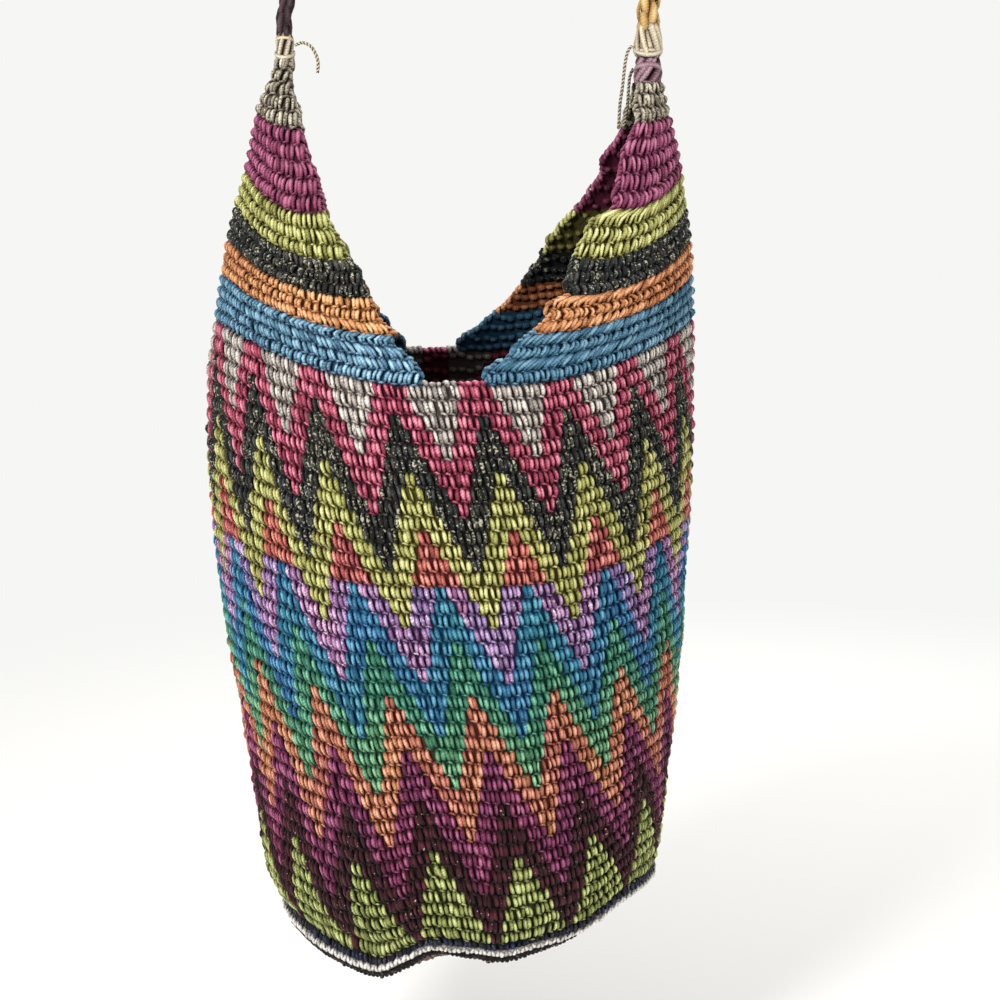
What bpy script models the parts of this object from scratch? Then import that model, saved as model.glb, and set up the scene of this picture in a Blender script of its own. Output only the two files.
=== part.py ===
"""Crocheted shoulder bag in the mochila manner, hanging by its strap.

A tube body worked in rounds on a round base, with a mouth scooped low at the front and the back. The sides
rise into two tapering horns. One crocheted cord, tied to the horn tips, makes the shoulder strap.
Metres, +Z up. The bag hangs: the world origin is the underside of the strap's highest point. Heights below
are measured from the lowest point of the mouth, at the front.
"""
import math

import bmesh
import bpy
import numpy as np

# Body, from the stitch line at the base's edge to the lowest point of the mouth
BODY_HEIGHT = 0.295
BODY_WIDTH = 0.261
BODY_DEPTH = 0.246
MOUTH_DEPTH = 0.224
BASE_WIDTH = 0.195
BASE_DEPTH = 0.188
BASE_SAG = 0.028
SWAY = 0.0045
SWAY_FROM = 0.3
SWAY_OVER = 0.5
ROUNDS = 42
WALL = 0.0045
RIDGE = 0.0009
PLAN_TURN = math.radians(5)

# Horns, which carry on from the body's sides
SIDE_LIFT = 0.026
SAG_FROM = math.radians(10)
SAG_OVER = math.radians(70)
FADE_FROM_ROUND = 9
HORN_ROUND = 0.0060
LEFT_HORN_ROUNDS = 23
RIGHT_HORN_ROUNDS = 21
HORN_HEIGHT = 0.165
LEFT_TIP_REACH = 0.0935
RIGHT_TIP_REACH = 0.1125
LEFT_TIP_GAP = 0.0815
RIGHT_TIP_GAP = 0.0985
TIP_DEPTH = 0.017
FOLD_SHARE = 0.36

# Strap, its ties and the loose yarn ends
STRAP_LEFT_RADIUS = 0.0042
STRAP_RIGHT_RADIUS = 0.0062
STRAP_STEP = 0.020
WRAP_HEIGHT = 0.0105
WRAP_RADIUS = 0.0052
LASHING_HEIGHT = 0.0125
LASHING_RADIUS = 0.0072
KNOT_HEIGHT = 0.0130
KNOT_RADIUS = 0.0082
TAIL_RADIUS = 0.0010
SEAT_GAP = 0.0003

# The hanging point over the mouth, which becomes the world origin
HANG_X = 0.012
HANG_Z = 0.4330

# Facets
COLUMNS = 36
LINING_STEP = 6
HORN_LINING_STEP = 4
BASE_RIDGES = 6
LUMP_SIDES = 14

# Share of the way from the base's width to the body's, by share of the body's height
BODY_PROFILE = [(0, 0), (0.02, 0.16), (0.075, 0.34), (0.17, 0.46), (0.26, 0.55), (0.41, 0.71), (0.56, 0.855),
                (0.67, 0.92), (0.78, 0.99), (0.88, 1), (1, 0.995)]
# Share of the way from the body's side to the tip, by share of the horn's height
LEFT_OUTER = [(0, 0), (0.15, 0.12), (0.30, 0.23), (0.41, 0.32), (0.52, 0.44), (0.70, 0.67), (0.84, 0.79), (1, 1)]
RIGHT_OUTER = [(0, 0), (0.20, 0.04), (0.40, 0.11), (0.55, 0.30), (0.70, 0.50), (0.80, 0.72), (1, 1)]
# Half the mouth's width, as a share of its width at the tips, by share of the horn's height
LEFT_MOUTH = [(0, 0), (0.018, 0.21), (0.05, 0.30), (0.13, 0.44), (0.165, 0.50), (0.25, 0.57), (0.36, 0.68),
              (0.43, 0.76), (0.51, 0.835), (0.57, 0.877), (0.66, 0.926), (0.72, 0.965), (0.78, 0.99), (1, 1)]
RIGHT_MOUTH = [(0, 0), (0.018, 0.07), (0.04, 0.12), (0.09, 0.24), (0.15, 0.36), (0.20, 0.44), (0.31, 0.545),
               (0.41, 0.63), (0.45, 0.69), (0.53, 0.79), (0.59, 0.85), (0.70, 0.91), (0.76, 0.965), (1, 1)]
# Share of the way from the body's depth to the mouth's, by share of the body's height
SHOULDER = [(0, 0), (0.70, 0), (0.82, 0.10), (0.92, 0.50), (1, 1)]
# Share of the way from the mouth's depth to the tip's, by share of the horn's height
HORN_DEPTH = [(0, 0), (0.18, 0.125), (0.36, 0.32), (0.55, 0.54), (0.73, 0.765), (0.85, 0.90), (0.94, 0.98), (1, 1)]
# Radius of a tied lump, as a share of its widest, by share of its height
LUMP_PROFILE = [(0.15, 0.90), (0.38, 1.0), (0.62, 1.0), (0.85, 0.90)]
# Height of the base's stitch line over its mean, in metres, by angle from the front towards the right
BASE_LINE = [(-180, 0.002), (-135, -0.002), (-90, -0.006), (-60, -0.009), (-38, -0.015), (-26, -0.017),
             (-16, -0.009), (-6, 0.000), (3, -0.002), (14, -0.006), (25, -0.003), (40, 0.002), (53, 0.012),
             (75, 0.013), (100, 0.010), (135, 0.006), (180, 0.002)]

# The zigzag: each colour starts a few rounds below the last and a few stitches further right
TEETH = 18
TOOTH = 8
STITCHES = TEETH * TOOTH
LEAN = 0.17
FIRST_PEAK = -2
ROUNDS_DOWN = 4
STITCHES_RIGHT = 2
ZIGZAG = ["crimson", "charcoal", "lime", "coral", "blue", "green", "salmon", "plum", "maroon", "pale_green"]
LILAC_ROUND = 14
DARK_ROUNDS = 1
NAVY_ROUNDS = 1
HORN_BANDS = [(4, "sky_blue"), (3, "orange"), (3, "charcoal"), (3, "lime"), (5, "magenta"), (99, "marl")]

COLOURS = {
    "marl": (0.60, 0.58, 0.52), "magenta": (0.45, 0.10, 0.22), "lime": (0.50, 0.56, 0.14),
    "charcoal": (0.035, 0.040, 0.045), "orange": (0.74, 0.28, 0.09), "sky_blue": (0.08, 0.23, 0.34),
    "off_white": (0.62, 0.60, 0.54), "crimson": (0.60, 0.07, 0.16), "coral": (0.62, 0.13, 0.10),
    "lilac": (0.42, 0.20, 0.46), "blue": (0.03, 0.22, 0.42), "green": (0.05, 0.38, 0.24),
    "salmon": (0.72, 0.26, 0.13), "plum": (0.30, 0.05, 0.21), "maroon": (0.07, 0.008, 0.018),
    "pale_green": (0.38, 0.46, 0.14), "navy": (0.015, 0.018, 0.045), "base_brown": (0.30, 0.13, 0.12),
    "strap_brown": (0.34, 0.20, 0.11), "lashing": (0.28, 0.07, 0.14),
    "cream": (0.60, 0.52, 0.40),
}
YARN_ROUGHNESS = 0.85


def clear_scene():
    for thing in list(bpy.data.objects):
        bpy.data.objects.remove(thing, do_unlink=True)


def yarn(name):
    """A matt dyed yarn, made once for each colour."""
    if name in bpy.data.materials:
        return bpy.data.materials[name]
    material = bpy.data.materials.new(name)
    material.use_nodes = True
    shader = material.node_tree.nodes["Principled BSDF"]
    shader.inputs["Base Color"].default_value = (*COLOURS[name], 1)
    shader.inputs["Roughness"].default_value = YARN_ROUGHNESS
    shader.inputs["Metallic"].default_value = 0
    return material


def along(points, x):
    """The value at x on a smooth curve through (x, value) points, with no overshoot between them."""
    xs = np.array([p[0] for p in points], float)
    ys = np.array([p[1] for p in points], float)
    x = min(max(x, xs[0]), xs[-1])
    steps = np.diff(ys) / np.diff(xs)
    slopes = np.concatenate([[steps[0]], (steps[1:] + steps[:-1]) / 2, [steps[-1]]])
    slopes[1:-1] = np.where(steps[1:] * steps[:-1] <= 0, 0, slopes[1:-1])
    i = min(int(np.searchsorted(xs, x, side="right")) - 1, len(xs) - 2)
    width = xs[i + 1] - xs[i]
    t = (x - xs[i]) / width
    return float(ys[i] * (1 + 2 * t) * (1 - t) ** 2 + ys[i + 1] * t * t * (3 - 2 * t)
                 + slopes[i] * width * t * (1 - t) ** 2 - slopes[i + 1] * width * t * t * (1 - t))


def ease(x):
    """0 up to x = 0, 1 from x = 1, and smooth between."""
    x = min(max(x, 0.0), 1.0)
    return x * x * (3 - 2 * x)


def half_width(z, side):
    if z <= 0:
        share = along(BODY_PROFILE, 1 + z / BODY_HEIGHT)
        return BASE_WIDTH / 2 + (BODY_WIDTH - BASE_WIDTH) / 2 * share
    table, reach = (RIGHT_OUTER, RIGHT_TIP_REACH) if side > 0 else (LEFT_OUTER, LEFT_TIP_REACH)
    return BODY_WIDTH / 2 + (reach - BODY_WIDTH / 2) * along(table, z / HORN_HEIGHT)


def half_depth(z):
    if z > 0:
        return (MOUTH_DEPTH + (TIP_DEPTH - MOUTH_DEPTH) * along(HORN_DEPTH, z / HORN_HEIGHT)) / 2
    height = 1 + z / BODY_HEIGHT
    depth = BASE_DEPTH + (BODY_DEPTH - BASE_DEPTH) * along(BODY_PROFILE, height)
    return (depth + (MOUTH_DEPTH - BODY_DEPTH) * along(SHOULDER, height)) / 2


def half_mouth(z, side):
    if z <= 0:
        return 0.0
    table, gap = (RIGHT_MOUTH, RIGHT_TIP_GAP) if side > 0 else (LEFT_MOUTH, LEFT_TIP_GAP)
    return gap * along(table, z / HORN_HEIGHT)


def fold_centre(z, side):
    """The middle of the horn's U in plan: the bag's axis at the mouth, the mouth's own edge higher up."""
    return half_mouth(z, side) * ease(z / (HORN_HEIGHT * FOLD_SHARE))


def horn_rounds(side):
    return RIGHT_HORN_ROUNDS if side > 0 else LEFT_HORN_ROUNDS


def sag_share(angle):
    """How much of the sag a point has: 0 at the side fold, 1 at the front and the back."""
    return ease((abs(angle) - SAG_FROM) / SAG_OVER)


def base_wave(turn):
    """How far the base's stitch line lies over its mean at a turn from the bag's own front seam."""
    return along(BASE_LINE, (math.degrees(turn + PLAN_TURN) + 180) % 360 - 180)


def sway(z):
    """The lower body hangs a little to the right of the mouth."""
    return SWAY * ease((-z / BODY_HEIGHT - SWAY_FROM) / SWAY_OVER)


def turned(x, y, z):
    """The mouth and horns stand slightly turned about the bag's axis, as the bag hangs."""
    return (sway(z) + x * math.cos(PLAN_TURN) - y * math.sin(PLAN_TURN),
            x * math.sin(PLAN_TURN) + y * math.cos(PLAN_TURN), z)


def round_height(row, side, angle):
    """Height of round number `row`, whole or half, at an angle from the side fold, positive to the back."""
    if row <= ROUNDS:
        turn = math.pi / 2 + angle if side > 0 else -math.pi / 2 - angle
        top = SIDE_LIFT * (1 - sag_share(angle))
        share = row / ROUNDS
        return top * share - BODY_HEIGHT * (1 - share) + base_wave(turn) * (1 - share) ** 2
    up = row - ROUNDS
    fade = ease((up - FADE_FROM_ROUND) / (horn_rounds(side) - FADE_FROM_ROUND))
    return SIDE_LIFT + up * HORN_ROUND - SIDE_LIFT * (1 - fade) * sag_share(angle)


def plan_point(z, side, angle, inward):
    """The section at height z: x and y at an angle from the side fold, `inward` metres inside the surface."""
    centre = fold_centre(z, side)
    x = side * (centre + (half_width(z, side) - centre - inward) * math.cos(angle))
    return turned(x, (half_depth(z) - inward) * math.sin(angle), z)


def edge_angle(row, side):
    """Where round `row` of a horn ends at the mouth, found by halving."""
    low, high = math.radians(5), math.pi / 2
    for _ in range(40):
        middle = (low + high) / 2
        z = round_height(row, side, middle)
        centre = fold_centre(z, side)
        reach = (half_mouth(z, side) - centre) / (half_width(z, side) - centre)
        low, high = (middle, high) if middle < math.acos(min(max(reach, 0), 1)) else (low, middle)
    return (low + high) / 2


def base_point(share, turn, raised):
    """On the base, at a share of its radius and a turn from the front. It hangs lowest at its middle."""
    x = BASE_WIDTH / 2 * share * math.sin(turn)
    y = -BASE_DEPTH / 2 * share * math.cos(turn)
    z = -BODY_HEIGHT + base_wave(turn) * share ** 2 - BASE_SAG * (1 - share ** 2) + raised
    return turned(x, y, z)


def side_and_angle(column):
    """The side and the angle from its fold for a column, counted from the front towards the right."""
    turn = 2 * math.pi * column / COLUMNS
    if turn <= math.pi:
        return 1, turn - math.pi / 2
    return -1, 3 * math.pi / 2 - turn


def body_ring(mesh, row, inward):
    ring = []
    for column in range(COLUMNS):
        side, angle = side_and_angle(column)
        ring.append(mesh.verts.new(plan_point(round_height(row, side, angle), side, angle, inward)))
    return ring


def horn_row(mesh, row, side, inward):
    """From the front edge to the back edge of one horn."""
    edge = edge_angle(row, side)
    half = COLUMNS // 4
    angles = [edge * i / half for i in range(-half, half + 1)]
    return [mesh.verts.new(plan_point(round_height(row, side, a), side, a, inward)) for a in angles]


def horn_start(ring, side):
    """The body's top ring, from the front to the back along one side."""
    half = COLUMNS // 2
    if side > 0:
        return ring[:half + 1]
    return [ring[0]] + ring[:half - 1:-1]


def zigzag_colour(row_down, column):
    """The colour of a stitch: each boundary steps one stitch right for each row down, then jumps back up."""
    name = "off_white"
    for i, colour in enumerate(ZIGZAG):
        if row_down >= FIRST_PEAK + ROUNDS_DOWN * i + (column - STITCHES_RIGHT * i) % TOOTH:
            name = colour
    if name == "coral" and row_down >= LILAC_ROUND:
        name = "lilac"
    return name


def round_colour(row, turn_share):
    """The colour at a round counted from the base, at a share of the way round from the front."""
    if row < NAVY_ROUNDS:
        return "navy"
    if row < NAVY_ROUNDS + DARK_ROUNDS:
        return "maroon"
    if row < ROUNDS:
        row_down = ROUNDS - 1 - int(row)
        return zigzag_colour(row_down, turn_share * STITCHES + LEAN * row_down)
    up = row - ROUNDS
    for count, name in HORN_BANDS:
        if up < count:
            return name
        up -= count
    return HORN_BANDS[-1][1]


def strip(mesh, low, high, closed, colour_of):
    """A row of quads between two rows of points."""
    count = len(low) if closed else len(low) - 1
    for i in range(count):
        j = (i + 1) % len(low)
        face = mesh.faces.new((low[i], low[j], high[j], high[i]))
        face.material_index = COLOUR_NAMES.index(colour_of((i + 0.5) / count))


def outer_offset(half_rows):
    """The rounds swell outwards between the grooves that part them."""
    return -RIDGE if half_rows % 2 else RIDGE


def wall_rings(mesh):
    """Outer and inner rings of the wall, from the base's edge to the mouth."""
    outer = [body_ring(mesh, h / 2, outer_offset(h)) for h in range(2 * ROUNDS + 1)]
    for h in range(2 * ROUNDS):
        strip(mesh, outer[h], outer[h + 1], True, lambda share, row=h // 2: round_colour(row, share))
    levels = list(range(0, ROUNDS - LINING_STEP // 2, LINING_STEP)) + [ROUNDS]
    inner = [body_ring(mesh, row, WALL) for row in levels]
    for low, high, row in zip(inner, inner[1:], levels):
        strip(mesh, high, low, True, lambda share, row=row: round_colour(row, share))
    return outer, inner


def horn(mesh, side, outer_top, inner_top):
    """One horn: rows that shorten at the mouth, with the lining, the mouth's edges and the open end."""
    count = horn_rounds(side)
    outer = [horn_start(outer_top, side)]
    outer += [horn_row(mesh, ROUNDS + h / 2, side, outer_offset(h)) for h in range(1, 2 * count + 1)]
    for h in range(2 * count):
        strip(mesh, outer[h], outer[h + 1], False, lambda share, row=h // 2: round_colour(ROUNDS + row, share))
    levels = list(range(0, count, HORN_LINING_STEP)) + [count]
    inner = [horn_start(inner_top, side)]
    inner += [horn_row(mesh, ROUNDS + up, side, WALL) for up in levels[1:]]
    for low, high, up in zip(inner, inner[1:], levels):
        strip(mesh, high, low, False, lambda share, up=up: round_colour(ROUNDS + up, share))
    for end in (0, -1):
        for i, (start, stop) in enumerate(zip(levels, levels[1:])):
            edge = [outer[h][end] for h in range(2 * start, 2 * stop + 1)]
            mesh.faces.new(edge + [inner[i + 1][end], inner[i][end]])
    strip(mesh, outer[-1], inner[-1], False, lambda share: "marl")


def base_rings(mesh, edge, raised, count, ridge):
    """Rings of the base from its edge to its middle point, with a ridge for every other round."""
    rings = [edge]
    for i in range(1, count):
        lift = raised + (ridge if i % 2 else -ridge)
        turns = [2 * math.pi * column / COLUMNS for column in range(COLUMNS)]
        rings.append([mesh.verts.new(base_point(1 - i / count, turn, lift)) for turn in turns])
    for low, high in zip(rings, rings[1:]):
        strip(mesh, low, high, True, lambda share: "base_brown")
    middle = mesh.verts.new(base_point(0, 0, raised))
    for i, point in enumerate(rings[-1]):
        face = mesh.faces.new((point, rings[-1][(i + 1) % COLUMNS], middle))
        face.material_index = COLOUR_NAMES.index("base_brown")


def make_body():
    """The base, wall and horns are crocheted in one piece, so they are one closed solid."""
    mesh = bmesh.new()
    outer, inner = wall_rings(mesh)
    for side in (1, -1):
        horn(mesh, side, outer[-1], inner[-1])
    base_rings(mesh, outer[0], 0.0, 2 * BASE_RIDGES, RIDGE)
    base_rings(mesh, inner[0], WALL, 4, 0.0)
    bmesh.ops.recalc_face_normals(mesh, faces=mesh.faces)
    data = bpy.data.meshes.new("bag_body")
    mesh.to_mesh(data)
    mesh.free()
    for name in COLOUR_NAMES:
        data.materials.append(yarn(name))
    data.shade_smooth()
    data.set_sharp_from_angle(angle=math.radians(50))
    return place(data, "bag_body")


def place(data, name):
    """Hang an object from the world origin: heights in its data start at the mouth."""
    thing = bpy.data.objects.new(name, data)
    bpy.context.scene.collection.objects.link(thing)
    thing.parent = HANGER
    return thing


def tip_point(side):
    """The middle of a horn's open end, on its top."""
    row = ROUNDS + horn_rounds(side)
    z = round_height(row, side, 0.0)
    centre = fold_centre(z, side)
    x = side * (centre + (half_width(z, side) - centre) * 0.5)
    return np.array(turned(x, 0.0, z))


def lump(name, foot, height, radius, waist, colour):
    """A tied lump of yarn: a turned barrel with narrow flat ends, standing on its foot point."""
    mesh = bmesh.new()
    rings = []
    for share, swell in [(0.0, waist)] + LUMP_PROFILE + [(1.0, waist)]:
        ring = []
        for i in range(LUMP_SIDES):
            turn = 2 * math.pi * i / LUMP_SIDES
            ring.append(mesh.verts.new((radius * swell * math.cos(turn), radius * swell * math.sin(turn),
                                        height * share)))
        rings.append(ring)
    for low, high in zip(rings, rings[1:]):
        for i in range(LUMP_SIDES):
            j = (i + 1) % LUMP_SIDES
            mesh.faces.new((low[i], low[j], high[j], high[i]))
    mesh.faces.new(rings[0][::-1])
    mesh.faces.new(rings[-1])
    data = bpy.data.meshes.new(name)
    mesh.to_mesh(data)
    mesh.free()
    data.materials.append(yarn(colour))
    data.shade_smooth()
    data.set_sharp_from_angle(angle=math.radians(50))
    thing = place(data, name)
    thing.location = foot
    return thing


def smooth_route(points, step):
    """Points every `step` metres on a smooth curve through the route's own points, ends included."""
    route = [np.array(p, float) for p in points]
    route = [2 * route[0] - route[1]] + route + [2 * route[-1] - route[-2]]
    fine = []
    for a, b, c, d in zip(route, route[1:], route[2:], route[3:]):
        for t in np.linspace(0, 1, 24, endpoint=False):
            fine.append(0.5 * (2 * b + (c - a) * t + (2 * a - 5 * b + 4 * c - d) * t ** 2
                               + (3 * b - a - 3 * c + d) * t ** 3))
    fine.append(route[-2])
    fine = np.array(fine)
    run = np.concatenate([[0], np.cumsum(np.linalg.norm(np.diff(fine, axis=0), axis=1))])
    marks = np.linspace(0, run[-1], max(int(round(run[-1] / step)), 3) + 1)
    marks = np.concatenate([[0, step / 4], marks[1:-1], [run[-1] - step / 4, run[-1]]])
    return np.stack([np.interp(marks, run, fine[:, axis]) for axis in range(3)], axis=1)


def cord(name, points, step, radius_start, radius_end, colour, sides):
    """A tube along a smooth route, with closed ends."""
    curve = bpy.data.curves.new(name, "CURVE")
    curve.dimensions = "3D"
    curve.bevel_depth = radius_start
    curve.bevel_resolution = sides
    curve.use_fill_caps = True
    route = smooth_route(points, step)
    spline = curve.splines.new("POLY")
    spline.points.add(len(route) - 1)
    for i, point in enumerate(route):
        spline.points[i].co = (*point, 1)
        share = i / (len(route) - 1)
        spline.points[i].radius = 1 + (radius_end / radius_start - 1) * share
    curve.materials.append(yarn(colour))
    return place(curve, name)


def make_strap(left_end, right_end):
    """Up from the left horn, over the hanging point and down to the right horn."""
    lead = STRAP_STEP / 2 * UPWARDS
    route = [left_end, left_end + lead] + STRAP_ROUTE + [right_end + lead, right_end]
    cord("strap", route, STRAP_STEP, STRAP_LEFT_RADIUS, STRAP_RIGHT_RADIUS, "strap_brown", 3)


# The strap's way between its two ends, over the mouth. It hangs taut over a broad support.
STRAP_ROUTE = [
    (-0.0834, -0.0088, 0.205), (-0.0810, -0.0081, 0.230), (-0.0788, -0.0074, 0.256), (-0.0765, -0.0066, 0.282),
    (-0.0740, -0.0058, 0.308), (-0.0706, -0.0049, 0.334), (-0.0652, -0.0039, 0.359), (-0.0565, -0.0029, 0.383),
    (-0.0435, -0.0019, 0.405), (-0.0262, -0.0010, 0.422), (-0.0070, -0.0003, 0.4335), (0.0120, 0.0000, 0.4380),
    (0.0312, 0.0006, 0.4345), (0.0500, 0.0014, 0.423), (0.0672, 0.0024, 0.406), (0.0806, 0.0035, 0.384),
    (0.0900, 0.0046, 0.359), (0.0963, 0.0056, 0.332), (0.1002, 0.0066, 0.305), (0.1028, 0.0075, 0.278),
    (0.1046, 0.0083, 0.251), (0.1058, 0.0089, 0.226), (0.1064, 0.0093, 0.203),
]

# The loose yarn ends: from the knot they hang from, in steps from their own start
LEFT_TAIL_ROUTE = [(0.0, 0.0, 0.0), (0.004, -0.002, 0.0012), (0.0083, -0.004, -0.0005), (0.0112, -0.0052, -0.0045),
                   (0.0126, -0.0056, -0.0095), (0.0122, -0.0055, -0.0145)]
RIGHT_TAIL_ROUTE = [(0.0, 0.0, 0.0), (-0.0022, -0.0010, -0.003), (-0.0036, -0.0018, -0.009),
                    (-0.0044, -0.0022, -0.016), (-0.0052, -0.0025, -0.023), (-0.0062, -0.0026, -0.030),
                    (-0.0066, -0.0026, -0.037), (-0.0070, -0.0028, -0.044)]
SHORT_TAIL_ROUTE = [(0.0, 0.0, 0.0), (-0.0016, 0.0012, -0.004), (-0.0022, 0.0018, -0.010),
                    (-0.0026, 0.0020, -0.017), (-0.0034, 0.0018, -0.024), (-0.0046, 0.0016, -0.031)]


def tail(name, start, route, colour):
    cord(name, [start + np.array(p) for p in route], 3 * TAIL_RADIUS * 2, TAIL_RADIUS, TAIL_RADIUS, colour, 2)


clear_scene()
COLOUR_NAMES = list(COLOURS)
HANGER = bpy.data.objects.new("hanging_point", None)
bpy.context.scene.collection.objects.link(HANGER)
HANGER.location = (-HANG_X, 0, -HANG_Z)

make_body()
UPWARDS = np.array([0.0, 0.0, 1.0])

left_foot = tip_point(-1) + SEAT_GAP * UPWARDS
lump("left_wrap", left_foot, WRAP_HEIGHT, WRAP_RADIUS, 0.80, "cream")
strap_left = left_foot + (WRAP_HEIGHT + SEAT_GAP) * UPWARDS

lashing_foot = tip_point(1) + SEAT_GAP * UPWARDS
lump("right_lashing", lashing_foot, LASHING_HEIGHT, LASHING_RADIUS, 0.75, "lashing")
knot_foot = lashing_foot + (LASHING_HEIGHT + SEAT_GAP) * UPWARDS
lump("right_knot", knot_foot, KNOT_HEIGHT, KNOT_RADIUS, 0.72, "cream")
strap_right = knot_foot + (KNOT_HEIGHT + SEAT_GAP) * UPWARDS

make_strap(strap_left, strap_right)

wrap_side = left_foot + np.array([WRAP_RADIUS + SEAT_GAP, -0.001, 0.55 * WRAP_HEIGHT])
tail("left_tail", wrap_side, LEFT_TAIL_ROUTE, "marl")
knot_side = knot_foot + np.array([-KNOT_RADIUS - SEAT_GAP - TAIL_RADIUS * 0.2, -0.002, 0.45 * KNOT_HEIGHT])
tail("right_tail", knot_side, RIGHT_TAIL_ROUTE, "cream")
lashing_side = lashing_foot + np.array([-LASHING_RADIUS - SEAT_GAP - TAIL_RADIUS * 0.2, 0.002, 0.55 * LASHING_HEIGHT])
tail("right_short_tail", lashing_side, SHORT_TAIL_ROUTE, "marl")
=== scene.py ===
# %% [markdown]
# # A crocheted shoulder bag, stitch by stitch
#
# The bag is one piece of single crochet: a tube worked in rounds on a round base, with two horns that grow
# from its sides and a cord that joins them. A painted surface would never show the round legs of yarn and the
# dark little gaps between them, so each stitch is built here as real strands, laid on the part's own wall.

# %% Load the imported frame
import math
from collections import defaultdict

import bpy
import numpy as np
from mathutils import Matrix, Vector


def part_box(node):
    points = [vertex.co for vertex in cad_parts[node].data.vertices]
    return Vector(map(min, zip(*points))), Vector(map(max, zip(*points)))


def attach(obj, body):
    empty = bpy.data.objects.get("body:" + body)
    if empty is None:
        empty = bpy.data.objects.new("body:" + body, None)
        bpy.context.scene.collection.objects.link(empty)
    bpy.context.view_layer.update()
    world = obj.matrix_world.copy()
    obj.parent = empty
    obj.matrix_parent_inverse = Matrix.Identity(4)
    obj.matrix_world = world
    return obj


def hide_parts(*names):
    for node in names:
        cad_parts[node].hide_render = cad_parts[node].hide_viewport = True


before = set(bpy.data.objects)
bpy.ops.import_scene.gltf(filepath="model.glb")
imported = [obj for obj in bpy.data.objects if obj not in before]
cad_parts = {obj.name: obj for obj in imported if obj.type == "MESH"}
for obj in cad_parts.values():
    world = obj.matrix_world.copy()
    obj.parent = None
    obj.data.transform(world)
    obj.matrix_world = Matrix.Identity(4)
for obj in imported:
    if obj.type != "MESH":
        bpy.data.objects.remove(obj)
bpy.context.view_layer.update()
random = np.random.default_rng(7)
print("frame loaded:", sorted(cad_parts))


def add_object(name, data):
    thing = bpy.data.objects.new(name, data)
    bpy.context.scene.collection.objects.link(thing)
    return thing


def scatter(*shape):
    """Random numbers about 0 with a spread of 1."""
    return random.normal(0, 1, shape)

# %% [markdown]
# ## The camera
#
# The photograph was taken from about a metre away, looking down at the bag by some nine degrees. A 71 mm lens
# on a 36 mm wide square sensor gives its frame.

# %% Camera
camera = add_object("camera", bpy.data.cameras.new("camera"))
camera.data.lens, camera.data.sensor_width = 71.4, 36
camera.location = (0.0144, -1.08, -0.340)
camera.rotation_euler = (math.radians(81.2), 0, 0)
bpy.context.scene.camera = camera
print("camera at", tuple(camera.location))

# %% [markdown]
# ## Sizes
#
# These values shape the cloth: how wide and deep each round is, how the horns lean in, and how the mouth
# opens. They match the solid part, so every strand lands on its wall. Heights are measured from the lowest
# point of the mouth, and the whole bag is then hung below the strap's top.

# %% Sizes of the cloth, in metres
HANG = np.array([0.012, 0.0, 0.433])
BODY_HEIGHT, BODY_WIDTH, BODY_DEPTH, MOUTH_DEPTH = 0.295, 0.261, 0.246, 0.224
BASE_WIDTH, BASE_DEPTH, BASE_SAG, BASE_RINGS = 0.195, 0.188, 0.028, 18
SWAY, SWAY_FROM, SWAY_OVER = 0.0045, 0.3, 0.5
ROUNDS, WALL = 42, 0.0045
PLAN_TURN = math.radians(5)
SIDE_LIFT, SAG_FROM, SAG_OVER = 0.026, math.radians(10), math.radians(70)
FADE_FROM_ROUND, HORN_ROUND, HORN_HEIGHT = 9, 0.0060, 0.165
HORN_ROUNDS = {-1: 23, 1: 21}
LEFT_TIP_REACH, RIGHT_TIP_REACH = 0.0935, 0.1125
LEFT_TIP_GAP, RIGHT_TIP_GAP = 0.0815, 0.0985
TIP_DEPTH, FOLD_SHARE = 0.017, 0.36
TURN = 2 * math.pi

# Shares of the way between two sizes, by share of the body's or the horn's height
BODY_PROFILE = [(0, 0), (0.02, 0.16), (0.075, 0.34), (0.17, 0.46), (0.26, 0.55), (0.41, 0.71), (0.56, 0.855),
                (0.67, 0.92), (0.78, 0.99), (0.88, 1), (1, 0.995)]
LEFT_OUTER = [(0, 0), (0.15, 0.12), (0.3, 0.23), (0.41, 0.32), (0.52, 0.44), (0.7, 0.67), (0.84, 0.79),
              (1, 1)]
RIGHT_OUTER = [(0, 0), (0.20, 0.04), (0.40, 0.11), (0.55, 0.30), (0.70, 0.50), (0.80, 0.72), (1, 1)]
LEFT_MOUTH = [(0, 0), (0.018, 0.21), (0.05, 0.30), (0.13, 0.44), (0.165, 0.50), (0.25, 0.57), (0.36, 0.68),
              (0.43, 0.76), (0.51, 0.835), (0.57, 0.877), (0.66, 0.926), (0.72, 0.965), (0.78, 0.99), (1, 1)]
RIGHT_MOUTH = [(0, 0), (0.018, 0.07), (0.04, 0.12), (0.09, 0.24), (0.15, 0.36), (0.20, 0.44), (0.31, 0.545),
               (0.41, 0.63), (0.45, 0.69), (0.53, 0.79), (0.59, 0.85), (0.70, 0.91), (0.76, 0.965), (1, 1)]
SHOULDER = [(0, 0), (0.70, 0), (0.82, 0.10), (0.92, 0.50), (1, 1)]
HORN_DEPTH = [(0, 0), (0.18, 0.125), (0.36, 0.32), (0.55, 0.54), (0.73, 0.765), (0.85, 0.9), (0.94, 0.98),
              (1, 1)]
# Height of the base's edge over its mean, by angle from the front
BASE_LINE = [(-180, 0.002), (-135, -0.002), (-90, -0.006), (-60, -0.009), (-38, -0.015), (-26, -0.017),
             (-16, -0.009), (-6, 0.000), (3, -0.002), (14, -0.006), (25, -0.003), (40, 0.002), (53, 0.012),
             (75, 0.013), (100, 0.010), (135, 0.006), (180, 0.002)]


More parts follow.
